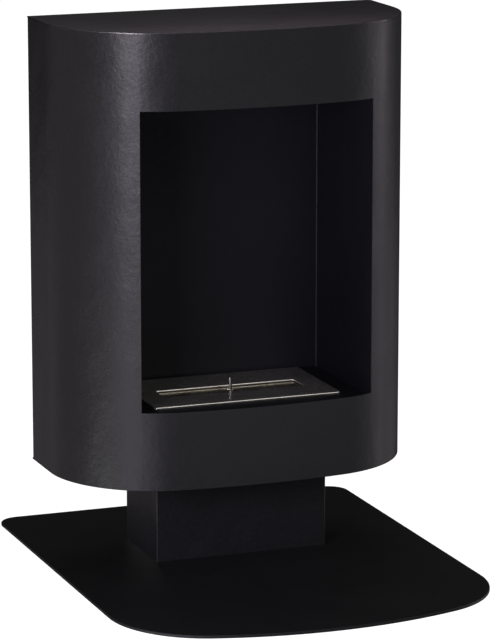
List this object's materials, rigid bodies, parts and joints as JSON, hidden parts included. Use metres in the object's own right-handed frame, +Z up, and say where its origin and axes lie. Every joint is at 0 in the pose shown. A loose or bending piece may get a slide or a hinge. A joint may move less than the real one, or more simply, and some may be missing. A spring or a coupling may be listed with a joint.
{
  "type": "bioethanol fireplace",
  "caption": "Free-standing bioethanol fireplace: D-shaped sheet-steel body with an open front, lift-out burner with a sliding damper, on a pedestal and floor plate.",
  "frame": {"origin": "on the floor, at the centre of the floor plate footprint", "axes": "+Z up, the open front faces -Y, X across the front"},
  "size_m": [0.633, 0.788, 0.8855],
  "materials": {
    "black_powder_coat": "satin charcoal-black powder coat with a fine orange-peel texture",
    "floor_plate_coat": "matt black powder coat",
    "firebox_black": "matt heat-resistant black paint",
    "galvanised_steel": "galvanised sheet, unseen",
    "zinc_fasteners": "bright zinc plating",
    "black_screws": "black oxide",
    "stainless_inner": "plain stainless sheet, straw-tinted by heat",
    "burner_stainless": "semi-polished stainless sheet",
    "damper_stainless": "stainless sheet, straw-tinted by heat",
    "pin_steel": "turned stainless, straw-tinted by heat",
    "ceramic_fibre": "soft white ceramic fibre blanket"
  },
  "bodies": {
    "stove": {"base_plate": "floor_plate_coat", "bottom_panel": "black_powder_coat", "burner_well": "galvanised_steel", "firebox_ceiling": "firebox_black", "firebox_floor": "firebox_black", "firebox_wrap": "firebox_black", "floor_rail_left": "galvanised_steel", "floor_rail_right": "galvanised_steel", "foot_nuts": "zinc_fasteners", "foot_screws": "zinc_fasteners", "front_jacket": "black_powder_coat", "head_bolts": "zinc_fasteners", "head_nuts": "zinc_fasteners", "head_washers": "zinc_fasteners", "pedestal_column": "black_powder_coat", "pedestal_foot_flange": "galvanised_steel", "pedestal_head_flange": "galvanised_steel", "rear_panel": "black_powder_coat", "rear_panel_screws": "black_screws", "top_panel": "black_powder_coat"},
    "burner": {"burner_top_plate": "burner_stainless", "burner_deck": "stainless_inner", "burner_tank": "stainless_inner", "damper_guides": "stainless_inner", "deck_spacers": "stainless_inner", "ceramic_wool": "ceramic_fibre", "wool_screen": "stainless_inner"},
    "damper": {"damper_plate": "damper_stainless", "damper_pin": "pin_steel", "damper_pin_nuts": "pin_steel"}
  },
  "joints": [
    {"name": "burner_lift", "type": "slide", "parent": "stove", "child": "burner", "axis": [0, 0, 1], "range_m": [0, 0.1]},
    {"name": "damper_slide", "type": "slide", "parent": "burner", "child": "damper", "axis": [0, 1, 0], "range_m": [-0.0195, 0.0195]}
  ]
}
